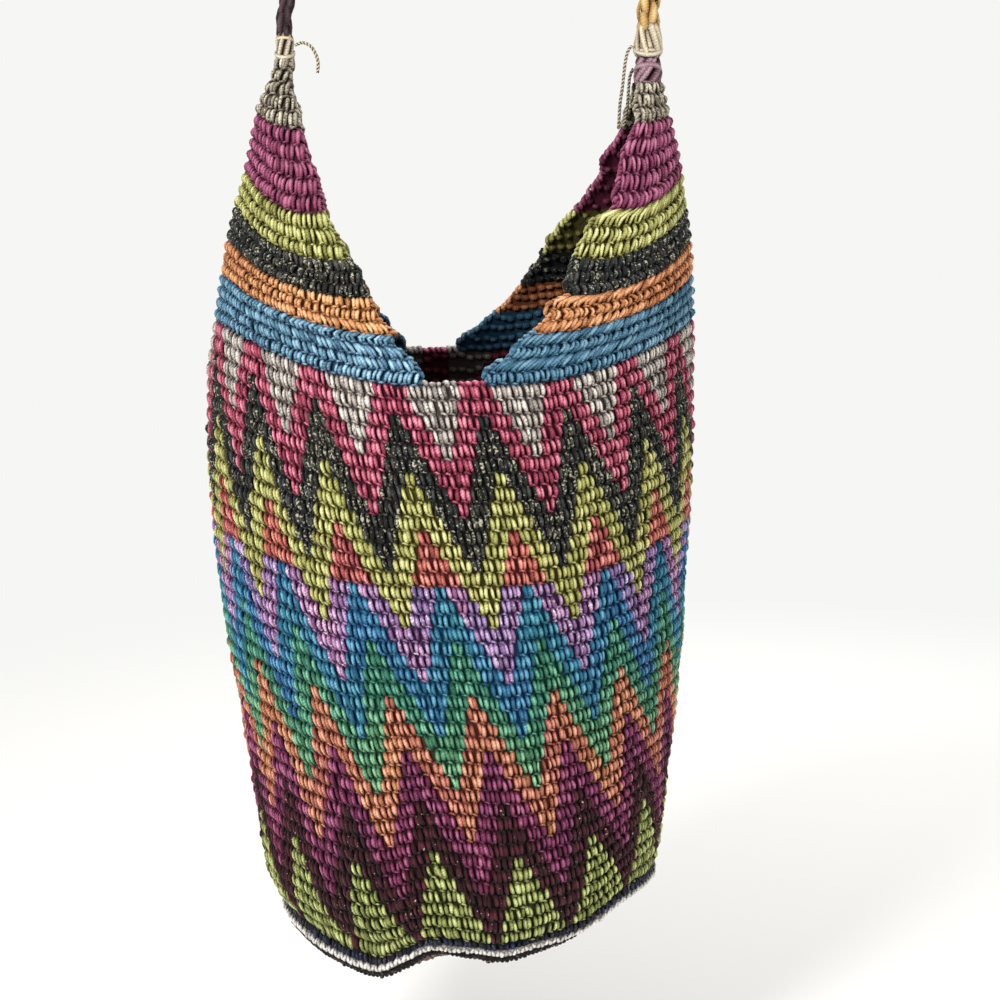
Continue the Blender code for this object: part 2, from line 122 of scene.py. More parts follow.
# %% The cloth's shape as functions
def along(points, x):
    """Values at x on a smooth curve through (x, value) points, with no overshoot between them."""
    xs, ys = np.array(points, float).T
    x = np.clip(x, xs[0], xs[-1])
    steps = np.diff(ys) / np.diff(xs)
    slopes = np.concatenate([[steps[0]], (steps[1:] + steps[:-1]) / 2, [steps[-1]]])
    slopes[1:-1] = np.where(steps[1:] * steps[:-1] <= 0, 0, slopes[1:-1])
    i = np.clip(np.searchsorted(xs, x, side="right") - 1, 0, len(xs) - 2)
    width = xs[i + 1] - xs[i]
    t = (x - xs[i]) / width
    return (ys[i] * (1 + 2 * t) * (1 - t) ** 2 + ys[i + 1] * t * t * (3 - 2 * t)
            + slopes[i] * width * t * (1 - t) ** 2 - slopes[i + 1] * width * t * t * (1 - t))


def ease(x):
    x = np.clip(x, 0, 1)
    return x * x * (3 - 2 * x)


def run_along(line):
    """The distance run along a line of points, from 0 at its first one."""
    return np.concatenate([[0], np.cumsum(np.linalg.norm(np.diff(line, axis=0), axis=1))])


def unit(vectors):
    return vectors / np.maximum(np.linalg.norm(vectors, axis=-1, keepdims=True), 1e-12)


def half_width(z, side):
    body = BASE_WIDTH / 2 + (BODY_WIDTH - BASE_WIDTH) / 2 * along(BODY_PROFILE, 1 + z / BODY_HEIGHT)
    left = BODY_WIDTH / 2 + (LEFT_TIP_REACH - BODY_WIDTH / 2) * along(LEFT_OUTER, z / HORN_HEIGHT)
    right = BODY_WIDTH / 2 + (RIGHT_TIP_REACH - BODY_WIDTH / 2) * along(RIGHT_OUTER, z / HORN_HEIGHT)
    return np.where(z <= 0, body, np.where(side > 0, right, left))


def half_depth(z):
    horn = MOUTH_DEPTH + (TIP_DEPTH - MOUTH_DEPTH) * along(HORN_DEPTH, z / HORN_HEIGHT)
    height = 1 + z / BODY_HEIGHT
    body = BASE_DEPTH + (BODY_DEPTH - BASE_DEPTH) * along(BODY_PROFILE, height)
    return np.where(z > 0, horn, body + (MOUTH_DEPTH - BODY_DEPTH) * along(SHOULDER, height)) / 2


def half_mouth(z, side):
    left = LEFT_TIP_GAP * along(LEFT_MOUTH, z / HORN_HEIGHT)
    right = RIGHT_TIP_GAP * along(RIGHT_MOUTH, z / HORN_HEIGHT)
    return np.where(z <= 0, 0.0, np.where(side > 0, right, left))





def base_wave(turn):
    return along(BASE_LINE, (np.degrees(turn + PLAN_TURN) + 180) % 360 - 180)


def placed(x, y, z):
    """Points of the cloth, turned and swayed as the bag hangs, in the world."""
    sway = SWAY * ease((-z / BODY_HEIGHT - SWAY_FROM) / SWAY_OVER)
    turned = np.stack(np.broadcast_arrays(sway + x * math.cos(PLAN_TURN) - y * math.sin(PLAN_TURN),
                                          x * math.sin(PLAN_TURN) + y * math.cos(PLAN_TURN), z), -1)
    return turned - HANG


def fold_centre(z, side):
    return half_mouth(z, side) * ease(z / (HORN_HEIGHT * FOLD_SHARE))


def section(z, side, angle):
    """Points of the wall at height z, at an angle from the side fold, positive to the back."""
    centre = fold_centre(z, side)
    x = side * (centre + (half_width(z, side) - centre) * np.cos(angle))
    return placed(x, half_depth(z) * np.sin(angle), z)


def sag_at(angle):
    """The share of the full sag, from 0 at the sides to 1 at the front and the back."""
    return ease((np.abs(angle) - SAG_FROM) / SAG_OVER)


def body_height(row, side, angle):
    """Height of a round of the body. It sags at the front and the back, and follows the base's edge below."""
    turn = np.where(side > 0, math.pi / 2 + angle, -math.pi / 2 - angle)
    share = row / ROUNDS
    return (SIDE_LIFT * (1 - sag_at(angle)) * share - BODY_HEIGHT * (1 - share)
            + base_wave(turn) * (1 - share) ** 2)


def horn_height(up, side, angle):
    fade = ease((up - FADE_FROM_ROUND) / (HORN_ROUNDS[side] - FADE_FROM_ROUND))
    return SIDE_LIFT + up * HORN_ROUND - SIDE_LIFT * (1 - fade) * sag_at(angle)


def edge_angle(up, side):
    """The angle from the fold at which a round of a horn ends at the mouth, found by halving."""
    low, high = np.full_like(up, math.radians(5)), np.full_like(up, math.pi / 2)
    for _ in range(40):
        middle = (low + high) / 2
        z = horn_height(up, side, middle)
        centre = fold_centre(z, side)
        reach = (half_mouth(z, side) - centre) / (half_width(z, side) - centre)
        outside = middle < np.arccos(np.clip(reach, 0, 1))
        low, high = np.where(outside, middle, low), np.where(outside, high, middle)
    return (low + high) / 2


print("bottom of the body at", placed(0.0, 0.0, np.array(-BODY_HEIGHT)))

# %% [markdown]
# ## A surface to lay yarn on
#
# Each part of the cloth is sampled once as a grid of points and outward directions, so thousands of strands
# can be laid on it at once, by round and column.


# %% Surface grids
ROWS_PER_ROUND = 2


class Surface:
    """A grid of points with outward normals. Rows are rounds, and columns run round the bag."""

    def __init__(self, points, outward, closed):
        across = (np.roll(points, -1, 1) - np.roll(points, 1, 1)) if closed else np.gradient(points, axis=1)
        self.points, self.closed = points, closed
        self.normals = unit(np.cross(across, np.gradient(points, axis=0)) * outward)

    def at(self, row, column, lift=0.0):
        """Points at a round number and a share 0 to 1 of the columns, lifted off the wall, with normals."""
        row, column = np.broadcast_arrays(row, column)
        count = self.points.shape[1]
        r = np.clip(row * ROWS_PER_ROUND, 0, self.points.shape[0] - 1.001)
        c = column * count % count if self.closed else np.clip(column, 0, 1) * (count - 1.001)
        r0, c0 = r.astype(int), c.astype(int)
        c1 = (c0 + 1) % count
        fr, fc = (r - r0)[..., None], (c - c0)[..., None]

        def mixed(grid):
            return ((grid[r0, c0] * (1 - fc) + grid[r0, c1] * fc) * (1 - fr)
                    + (grid[r0 + 1, c0] * (1 - fc) + grid[r0 + 1, c1] * fc) * fr)
        normal = mixed(self.normals)
        return mixed(self.points) + normal * np.asarray(lift)[..., None], normal


HAND_WAVE = 0.0011


def body_surface():
    turn = np.linspace(0, TURN, 480, endpoint=False)[None, :]
    row = np.linspace(0, ROUNDS, ROUNDS * ROWS_PER_ROUND + 1)[:, None]
    side = np.where(turn <= math.pi, 1, -1)
    angle = np.where(turn <= math.pi, turn - math.pi / 2, 3 * math.pi / 2 - turn)
    side, angle, row = np.broadcast_arrays(side, angle, row)
    wall = Surface(section(body_height(row, side, angle), side, angle), 1, True)
    # Worked by hand, the wall bulges and dips by about a millimetre, but not where other parts join it.
    wave = (np.sin(3 * turn + 0.21 * row) + np.sin(5 * turn - 0.33 * row + 1)
            + np.sin(8 * turn + 0.5 * row + 2) + np.sin(0.9 * row + 2 * turn)) / 4
    joined = np.sin(math.pi * np.clip(row / ROUNDS, 0, 1))[..., None]
    return Surface(wall.points + wall.normals * wave[..., None] * joined * HAND_WAVE, 1, True)


# A round that ends a stitch sooner or later than the next leaves a step in the mouth's edge. These are the
# steps in metres by round of the horn, positive towards the mouth, at the front and the back.
FRONT_STEPS = {1: {6: 0.0035, 7: -0.0035, 12: 0.0050, 13: -0.0040, 14: -0.0010, 3: 0.0010},
               -1: {4: 0.0028, 5: 0.0012, 3: -0.0022, 9: 0.0014, 12: -0.0012, 15: 0.0012}}
BACK_STEPS = {1: {17: 0.0006, 16: 0.0014, 15: -0.0016, 12: 0.0022, 9: -0.0014, 6: 0.0014},
              -1: {3: 0.0015, 7: -0.0015, 10: 0.0015}}
# The tips are drawn together by their ties: how much of its width each of the last rounds keeps.
TIP_PINCH = {-1: [(0, 1), (18.4, 1), (19.6, 0.88), (21.2, 0.58), (23, 0.50)],
             1: [(0, 1), (16, 1), (18.5, 0.94), (21, 0.80)]}


def horn_surface(side):
    up = np.linspace(0, HORN_ROUNDS[side], HORN_ROUNDS[side] * ROWS_PER_ROUND + 1)
    # The first round ends square at the mouth, so the wall's own last round makes the rim between the horns.
    edge = edge_angle(np.maximum(up, 1.0), side)
    reach = half_depth(horn_height(up, side, edge))
    ragged = np.random.default_rng(20 + side).normal(0, 0.0006, (2, HORN_ROUNDS[side] + 1))
    step = [np.array([steps.get(int(u), 0.0) for u in up]) + ragged[i, up.astype(int)]
            for i, steps in enumerate((FRONT_STEPS[side], BACK_STEPS[side]))]
    share = np.linspace(-1, 1, 121)[None, :]
    front, back = edge + step[0] / reach, edge + step[1] / reach
    angle = np.where(share < 0, front[:, None], back[:, None]) * share
    z = horn_height(np.broadcast_to(up[:, None], angle.shape), side, angle)
    points = section(z, side, angle)
    middle = points.mean(axis=1, keepdims=True)
    pinch = along(TIP_PINCH[side], up)[:, None, None]
    squeezed = middle + (points - middle) * pinch
    squeezed[..., 2] = points[..., 2] + (1 - pinch[..., 0]) * 0.3 * (middle[..., 2] - points[..., 2])
    return Surface(squeezed, side, False)





def base_surface():
    turn = np.linspace(0, TURN, 240, endpoint=False)[None, :]
    share = 1 - np.linspace(0, BASE_RINGS - 0.4, BASE_RINGS * ROWS_PER_ROUND)[:, None] / BASE_RINGS
    z = -BODY_HEIGHT + base_wave(turn) * share ** 2 - BASE_SAG * (1 - share ** 2)
    points = placed(BASE_WIDTH / 2 * share * np.sin(turn), -BASE_DEPTH / 2 * share * np.cos(turn), z)
    return Surface(points, -1, True)


body, left_horn, right_horn = body_surface(), horn_surface(-1), horn_surface(1)
base = base_surface()
print("grids:", body.points.shape, left_horn.points.shape, right_horn.points.shape, base.points.shape)

# %% [markdown]
# ## Where every stitch sits
#
# The stitches of a round are nearly all one width, so they are spaced by length along it. Each leans a little
# over the one below it, so the columns climb to the right. The lower rounds are fuller at the front.

# %% Stitch places
TEETH, TOOTH = 18, 8
STITCHES = TEETH * TOOTH
LEAN = 0.17
FULL_FROM, FULL_OVER, FULLNESS = 24, 14, 0.15
STITCH_WIDTH = 0.0053


def body_stitches():
    """Row, column share and width share of each stitch of the wall, and its place in the pattern."""
    places, shares, number = [], np.linspace(0, 1, 961), np.arange(STITCHES)
    for row in range(ROUNDS):
        run = run_along(body.at(row + 0.5, shares)[0])
        down = ROUNDS - 1 - row
        x = ((number - LEAN * (down + 0.5)) / (STITCHES / 2) + 1) % 2 - 1
        full = FULLNESS * ease((down - FULL_FROM) / FULL_OVER)
        column = np.interp((x + full * x * (1 - x * x)) / 2 % 1 * run[-1], run, shares)
        width = (1 + full * (1 - 3 * x * x)) / STITCHES
        places.append(np.stack(np.broadcast_arrays(row, column, width, number, down)))
    return np.concatenate(places, axis=1)


def horn_stitches(surface, side):
    """Row, column share and width share of each stitch of a horn, counted out from the fold."""
    places, shares = [], np.linspace(0, 1, 241)
    for up in range(HORN_ROUNDS[side]):
        run = run_along(surface.at(up + 0.5, shares)[0])
        fold = run[len(run) // 2]
        for length, way in ((fold, -1), (run[-1] - fold, 1)):
            count = max(int(round(length / STITCH_WIDTH)), 1)
            column = np.interp(fold + way * (np.arange(count) + 0.5) * length / count, run, shares)
            places.append(np.stack(np.broadcast_arrays(up, column, length / count / run[-1])))
    return np.concatenate(places, axis=1)


wall_stitches = body_stitches()
left_stitches, right_stitches = horn_stitches(left_horn, -1), horn_stitches(right_horn, 1)
print("stitches:", wall_stitches.shape[1], "in the wall,", left_stitches.shape[1], "and",
      right_stitches.shape[1], "in the horns")

# %% [markdown]
# ## The pattern
#
# Below the horns' plain bands the pattern is rows of leaning sawteeth. Each colour starts four rounds lower
# than the last and two stitches further right, and its steps go one stitch right for each round down.

# %% Which yarn each stitch is worked in
ZIGZAG = ["crimson", "charcoal", "lime", "coral", "blue", "green", "salmon", "plum", "maroon", "pale_green"]
FIRST_PEAK, ROUNDS_DOWN, STITCHES_RIGHT, LILAC_ROUND = -2, 4, 2, 14
HORN_BANDS = [(4, "sky_blue"), (3, "orange"), (3, "charcoal"), (3, "lime"), (5, "magenta"), (99, "marl")]


def wall_yarn(number, down):
    yarn = np.full(len(number), "off_white", dtype=object)
    for i, name in enumerate(ZIGZAG):
        yarn[down >= FIRST_PEAK + ROUNDS_DOWN * i + (number - STITCHES_RIGHT * i) % TOOTH] = name
    yarn[(yarn == "coral") & (down >= LILAC_ROUND)] = "lilac"
    yarn[down == ROUNDS - 1] = "navy"
    return yarn


def horn_yarn(up):
    edges = np.cumsum([count for count, _ in HORN_BANDS])
    names = np.array([name for _, name in HORN_BANDS], dtype=object)
    return names[np.searchsorted(edges, up, side="right")]


wall_yarns = wall_yarn(wall_stitches[3], wall_stitches[4])
print("yarns in the wall:", sorted(set(wall_yarns)))

# %% [markdown]
# ## Strands of yarn
#
# Everything in the bag is a short length of plump yarn. One function skins lines of points with a rounded
# section, narrower at its ends and open underneath. A colour attribute carries three numbers: a painted
# light level from how far up the round side a point is, lighter on the crest and darker on the sides and
# thin ends, a slow drift in the dyed colour, and a fleck.

# %% Strand builder
def tapered(count, *first):
    """Widths of a strand's stations: full, apart from the first few and the same at the end."""
    return np.array([*first, *[1.0] * (count - 2 * len(first)), *first[::-1]])


PLY_SPACING_MM = 1.4
SECTION = np.radians([-105, -55, 0, 55, 105])
ENDS = np.array([0.42, 0.84, 1.0, 0.95, 0.46])


class Strands:
    """Collects strands of one yarn and turns them into one mesh."""

    def __init__(self):
        self.points, self.colours, self.plies, self.faces, self.count = [], [], [], [], 0

    def add(self, line, out, width, height, light, drift, fleck, ends=ENDS, angles=SECTION):
        """line and out: (strands, stations, 3), or one strand's. width and height: half sizes in metres."""
        if line.ndim == 2:
            line, out = line[None], out[None]
        strands, stations = line.shape[:2]
        if not strands:
            return
        width, height, light, drift, fleck = (np.broadcast_to(np.ravel(number), strands)[:, None, None]
                                              for number in (width, height, light, drift, fleck))
        side = unit(np.cross(out, np.gradient(line, axis=1)))
        sizes, cosines = ends[None, :, None], np.cos(angles)
        points = (line[:, :, None] + side[:, :, None] * (width * sizes * np.sin(angles))[..., None]
                  + out[:, :, None] * (height * sizes * cosines)[..., None])
        # Painted light: where the section faces out, the crest gets a painted highlight, and the sides and
        # the thin ends sink into painted shade.
        crest = 0.04 + 0.96 * np.maximum(cosines, 0) ** 1.3
        swell = np.clip(sizes * 1.7 - 0.70, 0, 1)
        shade_tone = np.clip(crest * swell * light, 0, 1)
        length = np.linalg.norm(line[:, -1] - line[:, 0], axis=-1)[:, None, None]
        run = np.linspace(0, 1, stations)[None, :, None] * length * 1000
        ply = np.broadcast_arrays(run + fleck * 5, angles / math.pi * PLY_SPACING_MM)
        grid = np.arange(stations * len(cosines)).reshape(stations, -1)
        quads = np.stack([grid[:-1, :-1], grid[:-1, 1:], grid[1:, 1:], grid[1:, :-1]], -1).reshape(-1, 4)
        starts = np.arange(strands) * grid.size
        self.keep(points, np.broadcast_arrays(shade_tone, drift, fleck, 1.0), ply, quads + starts[:, None, None])

    def add_cells(self, corners, shade_tone, drift):
        """Flat quads, one behind each stitch, that close the gaps with painted shade in the yarn's deepest
        colour.
        """
        cells = len(corners)
        drift = np.repeat(np.broadcast_to(drift, cells), 4)
        self.keep(corners, np.broadcast_arrays(shade_tone, drift, 0.0, 1.0), np.zeros((2, cells * 4)),
                  np.arange(cells * 4))

    def keep(self, points, colour, ply, faces):
        self.faces.append(faces.reshape(-1, 4) + self.count)
        self.points.append(points.reshape(-1, 3))
        self.colours.append(np.stack(colour, -1).reshape(-1, 4))
        self.plies.append(np.stack(ply, -1).reshape(-1, 2))
        self.count += points.size // 3

    def build(self, name, material):
        points, faces = np.concatenate(self.points), np.concatenate(self.faces)
        mesh = bpy.data.meshes.new(name)
        mesh.vertices.add(len(points))
        mesh.vertices.foreach_set("co", points.astype(np.float32).ravel())
        mesh.loops.add(faces.size)
        mesh.loops.foreach_set("vertex_index", faces.astype(np.int32).ravel())
        mesh.polygons.add(len(faces))
        mesh.polygons.foreach_set("loop_start", np.arange(0, faces.size, 4, dtype=np.int32))
        mesh.polygons.foreach_set("use_smooth", np.ones(len(faces), dtype=bool))
        mesh.update(calc_edges=True)
        colour = mesh.color_attributes.new("Yarn", "FLOAT_COLOR", "POINT")
        colour.data.foreach_set("color", np.concatenate(self.colours).astype(np.float32).ravel())
        ply = mesh.uv_layers.new(name="Ply")
        ply.data.foreach_set("uv", np.concatenate(self.plies)[faces.ravel()].astype(np.float32).ravel())
        mesh.materials.append(material)
        return add_object(name, mesh)


# %% [markdown]
# ## Cotton yarn
#
# Plied cotton is matt and soft. Its crest catches the light, its sides sink into a deeper shade, and a
# hand-dyed yarn drifts along its length. A colour ramp on the strand's own height paints that light and
# shade into the colour: a painted highlight on the crest and painted shade on the sides. A second ramp
# does the same for the colour to which the yarn drifts. A fine bump gives the fibres and the plies, which
# are drawn 1.4 mm apart as in real yarn.


# %% Colour and node helpers
def linear(hex_colour):
    """An sRGB hex value as Blender's linear colour."""
    channels = [int(hex_colour[i:i + 2], 16) / 255 for i in (1, 3, 5)]
    return (*[c / 12.92 if c <= 0.04045 else ((c + 0.055) / 1.055) ** 2.4 for c in channels], 1.0)


def fill_inputs(tree, node, inputs):
    """Sets each input to its value, or links it where a socket is given."""
    for key, value in inputs.items():
        if isinstance(value, bpy.types.NodeSocket):
            tree.links.new(value, node.inputs[key])
        else:
            node.inputs[key].default_value = value


def add_node(tree, kind, inputs=None, **settings):
    """Adds a shader node with its inputs and properties."""
    node = tree.nodes.new("ShaderNode" + kind)
    for key, value in settings.items():
        setattr(node, key, value)
    fill_inputs(tree, node, inputs or {})
    return node


def add_math(tree, operation, *inputs):
    return add_node(tree, "Math", dict(enumerate(inputs)), operation=operation).outputs[0]


def add_mix(tree, share, a, b):
    mix = add_node(tree, "Mix", {"Factor": share, "A": a, "B": b}, data_type="RGBA")
    return mix.outputs["Result"]


def add_noise(tree, place, scale, detail, roughness=0.5):
    return add_node(tree, "TexNoise", {"Vector": place, "Scale": scale, "Detail": detail,
                                       "Roughness": roughness}).outputs["Fac"]


def add_smooth_step(tree, value, low, high):
    return add_node(tree, "MapRange", {"Value": value, "From Min": low, "From Max": high},
                    interpolation_type="SMOOTHSTEP").outputs["Result"]


def add_ramp(tree, shade_tone, places, colours):
    """A colour ramp over the painted light level, with its stops at the places given."""
    ramp = add_node(tree, "ValToRGB", {"Fac": shade_tone})
    elements = ramp.color_ramp.elements
    while len(elements) < len(places):
        elements.new(0.5)
    for element, place, colour in zip(elements, places, colours.split()):
        element.position, element.color = place, linear(colour)
    return ramp.outputs["Color"]


# %% Yarn material
FIBRE_MM = 0.9
FLECK_MM = 1.3
STOPS, FLECK_STOPS = (0.08, 0.50, 0.98), (0.0, 0.7)


def yarn_material(name, dye_and_shade, drifted, flecks="", fleck_share=0.0):
    """Plied cotton yarn. The two sets of colours, the yarn's own and the one it drifts to, hold the deep,
    middle and crest tones: the deep one is painted shade, the middle one the yarn's colour and the crest one
    a painted highlight.
    """
    material = bpy.data.materials.new(name)
    material.use_nodes = True
    tree = material.node_tree
    numbers = add_node(tree, "Attribute", attribute_name="Yarn").outputs["Color"]
    parts = add_node(tree, "SeparateColor", {"Color": numbers}).outputs
    uv = add_node(tree, "UVMap", uv_map="Ply").outputs["UV"]
    place = add_node(tree, "TexCoord").outputs["Object"]
    fuzz = add_noise(tree, place, 1000 / FIBRE_MM, 2.0)
    # A wave repeats every 0.628 of its scaled length, so 0.628 over the spacing gives one band a ply.
    twist = add_node(tree, "TexWave", {"Vector": uv, "Scale": 0.628 / PLY_SPACING_MM, "Distortion": 1.0},
                     bands_direction="DIAGONAL").outputs["Fac"]
    lift = add_math(tree, "MULTIPLY_ADD", fuzz, 0.60, -0.36)
    # The ply bands add painted shade in the grooves between the plies. The fibre noise varies the level at
    # random.
    shade_tone = add_math(tree, "ADD", parts["Red"], add_math(tree, "MULTIPLY_ADD", twist, 0.12, lift))
    colour = add_mix(tree, parts["Green"], *(add_ramp(tree, shade_tone, STOPS, tones) for tones in (dye_and_shade, drifted)))
    if flecks:
        specks = add_noise(tree, place, 1000 / FLECK_MM, 1.0, 0.4)
        more = add_math(tree, "MULTIPLY_ADD", parts["Blue"], 0.16, specks)
        edge = 0.80 - 0.36 * fleck_share
        chosen = add_smooth_step(tree, more, edge - 0.03, edge + 0.05)
        # The flecks follow the same painted light level: highlight on the crest, shade on the sides.
        colour = add_mix(tree, chosen, colour, add_ramp(tree, shade_tone, FLECK_STOPS, flecks))
    plies = add_node(tree, "Bump", {"Height": twist, "Strength": 0.5, "Distance": 0.0003})
    fibres = add_node(tree, "Bump", {"Height": fuzz, "Normal": plies.outputs["Normal"], "Strength": 0.35,
                                     "Distance": 0.0002})
    fill_inputs(tree, tree.nodes["Principled BSDF"], {
        "Base Color": colour, "Normal": fibres.outputs["Normal"], "Roughness": 0.85,
        "Specular IOR Level": 0.25, "Sheen Weight": 0.08})
    return material


# %% The yarns' colours: painted shade as the deep stop, the yarn's own colour in the middle, painted highlight at the crest
# Each has its own tones and those it drifts to, then its flecks' tones and share if it has them.
DYES_AND_SHADES = {
    "marl": ("#4E463A #B0A692 #FAF1DC", "#3A3126 #9C927E #F0E6D2", "#2A241E #6E6656", 0.36),
    "magenta": ("#4C0A26 #93456A #D68CA6", "#3E0620 #8B3E5D #C57796"),
    "lime": ("#453C12 #AAA65C #F7F8B8", "#4A4816 #A5A45C #E5E69F"),
    "charcoal": ("#030304 #181A1C #4A4C4C", "#050505 #222320 #5C5A50", "#302E26 #BCB89C", 0.27),
    "orange": ("#5B2E16 #BC7448 #FFBD92", "#6E421C #D49660 #FFD6A3"),
    "sky_blue": ("#0E3246 #42708A #86ACBE", "#1C3A54 #6A94AC #B9E2F5"),
    "off_white": ("#544A46 #B8AEA6 #FFF8EC", "#4C4440 #AAA098 #F6EEE2", "#4A4040 #8E8480", 0.22),
    "crimson": ("#3C0718 #A43A56 #F5A1B5", "#4A0A1C #AC4A62 #F2A6B4"),
    "coral": ("#5A2018 #BC6252 #FCB89E", "#521A1C #B45458 #F4B0A8"),
    "lilac": ("#30264E #7E6A9C #CFB8E4", "#4C2044 #A26A94 #F0C0DC", "#7A6A84 #F4EAF4", 0.12),
    "blue": ("#03365E #2C6790 #7EB6DE", "#033F56 #2E7488 #76BCCA"),
    "green": ("#064436 #37785F #86CCB0", "#164424 #5C8E64 #AEDFB0"),
    "salmon": ("#561C1A #AC6252 #F7AF98", "#5E3018 #BC7A54 #FFC8A2"),
    "plum": ("#360218 #7C2C54 #C87EA0", "#30031A #662048 #AC6088"),
    "maroon": ("#160003 #340512 #6A2638", "#140002 #2E0810 #5C262E", "#6A4A48 #D8C8B8", -0.12),
    "pale_green": ("#262A0A #88904C #E2EA9C", "#30340E #909654 #E6ECA8"),
    "navy": ("#03040A #161B36 #3E476E", "#060405 #1E1B22 #46424A", "#24242C #6A6A70", 0.05),
    "ring_white": ("#5A544E #D6D2CC #FFFFFF", "#5A544E #CAC5BE #FBF9F6"),
    "dark_round": ("#050204 #201014 #544248", "#040202 #1C1210 #463A34", "#3A3030 #8E8478", 0.2),
    "base_brown": ("#241412 #7A5C56 #B89C92", "#201210 #6A504C #A48C82", "#8A7A6A #D4C4AC", 0.25),
}
yarns = {name: yarn_material(name + "_cotton_yarn", *dye_and_shade) for name, dye_and_shade in DYES_AND_SHADES.items()}
print("yarn materials:", len(yarns))

# %% [markdown]
# ## Single crochet
#
# Seen from outside, a single crochet stitch is two plump legs of yarn that lean together at the foot, with a
# dark hole under each. From inside it is a short bar across. Hand work varies, so each leg differs a little.

# %% Stitches on a surface
LEG_HALF_WIDTH, LEG_HALF_HEIGHT, LEG_RISE = 0.00118, 0.0010, 0.0009
LOOP_HALF_WIDTH, LOOP_HALF_HEIGHT = 0.00075, 0.0007
BAR_HALF_WIDTH, BAR_HALF_HEIGHT = 0.0019, 0.0011
LEGS_LEANING_LEFT = ((-0.05, -0.42), (0.38, 0.13))
LEGS_OPEN = ((-0.10, -0.34), (0.20, 0.34))
LEG_FOOT, LEG_TOP = -0.07, 0.97
STATIONS = np.linspace(0, 1, 5)
ARCH = np.array([-1.1, 0.5, 1.0, 0.85, -0.2])
BACK_INWARD, LINING_INWARD, LAP = 0.0010, 0.0034, 0.12
BAR_SECTION, LOOP_SECTION = np.radians([-100, -35, 35, 100]), np.radians([-85, 0, 85])
# Level of the painted shade on the backing and the lining behind the stitches.
BEHIND_PAINTED_SHADE = 0.02
collected = defaultdict(Strands)


def by_yarn(names):
    """Each yarn's strands, and which of the places are worked in it."""
    for name in sorted(set(names)):
        yield collected[name], names == name


def smooth_noise(row, column, scale_row, scale_column, seed):
    """A slow wave over the cloth from 0 to 1, for the drift of the dye."""
    phases = np.random.default_rng(seed).uniform(0, TURN, 6)
    a = np.sin(column * scale_column + phases[0] + 1.7 * np.sin(row * scale_row + phases[1]))
    b = np.sin(column * scale_column * 2.3 + row * scale_row * 1.6 + phases[2])
    # A slow wave over the cloth from 0 to 1, for the drift of the yarn's colour.
    return np.clip(0.5 + 0.32 * a + 0.22 * b, 0, 1)


def add_stitches(surface, row, column, width, yarn, drift, legs=LEGS_LEANING_LEFT):
    """Works one stitch at each place: two legs outside, one bar inside, and painted shade behind."""
    for strands, chosen in by_yarn(yarn):
        r, c, w = (values[chosen][:, None] for values in (row, column, width))
        d, n = drift[chosen], int(chosen.sum())

        def lay(b, a, rise):
            """Lines b rounds above each stitch's foot and a widths beside it."""
            return surface.at(r + b, c + a * w, rise)

        shift, slant = 0.05 * scatter(n, 1), 0.07 * scatter(n, 1)
        for foot, top in legs:
            jitter = scatter(5, n, 1)
            bend = 0.06 * scatter(n, 1) * np.sin(math.pi * STATIONS)
            a = ((foot + shift + jitter[0] * 0.05) * (1 - STATIONS)
                 + (top + shift + slant + jitter[1] * 0.05) * STATIONS + bend)
            b = LEG_FOOT + (LEG_TOP - LEG_FOOT) * STATIONS + jitter[2] * 0.055
            strands.add(*lay(b, a, LEG_RISE * (1 + 0.28 * jitter[3]) * ARCH),
                        LEG_HALF_WIDTH * (1 + 0.14 * jitter[4]), LEG_HALF_HEIGHT * (1 + 0.12 * jitter[3]),
                        np.clip(0.80 + 0.19 * scatter(n), 0.35, 1.2), d, random.random(n))
        # The top of the stitch below shows as a thin slanted loop between the rounds. Its lower light level
        # paints the shade between the rounds.
        jitter = scatter(3, n, 1)
        line, out = lay(np.array([-0.12, -0.02, 0.04, 0.0]) + 0.05 * jitter[0],
                        np.linspace(0.36, -0.30, 4) + 0.1 * jitter[1], 0.0001 + 0.0003 * jitter[2])
        strands.add(line, out, LOOP_HALF_WIDTH, LOOP_HALF_HEIGHT, np.clip(0.58 + 0.16 * jitter[1], 0.2, 1), d,
                    random.random(n), tapered(4, 0.5), LOOP_SECTION)
        # Inside, the stitch is one bar across. Its low light level paints the shade inside the bag.
        jitter = scatter(3, n, 1)
        across = np.linspace(-0.46, 0.46, 4)
        inward = WALL - 0.0004 + 0.0008 * np.array([0.1, 1, 1, 0.1]) * (1 + 0.2 * jitter[1])
        line, out = lay(0.5 + 0.12 * jitter[0] + 0.06 * across, across, -inward)
        strands.add(line, -out, BAR_HALF_WIDTH * (1 + 0.1 * jitter[2]), BAR_HALF_HEIGHT,
                    np.clip(0.34 + 0.08 * jitter[1], 0.1, 1), d, 0.8 * random.random(n), tapered(4, 0.6),
                    BAR_SECTION)
        # The outer backing laps its neighbours on all sides, so no light comes through between them. The
        # backing and the lining behind it are painted shade: the yarn's deepest colour, where the gaps lie in
        # shade.
        ways = np.array([-1, 1, 1, -1])
        lapped = lay(np.array([-LAP, -LAP, 1 + LAP, 1 + LAP]), (0.5 + LAP) * ways, -BACK_INWARD)[0]
        lining = lay(np.array([1, 1, 0, 0]), 0.5 * ways, -LINING_INWARD)[0]
        for corners in (lapped, lining):
            strands.add_cells(corners, BEHIND_PAINTED_SHADE, d)


row, column, width, number, down = wall_stitches
drift = smooth_noise(row, column, 0.35, 60, 1)
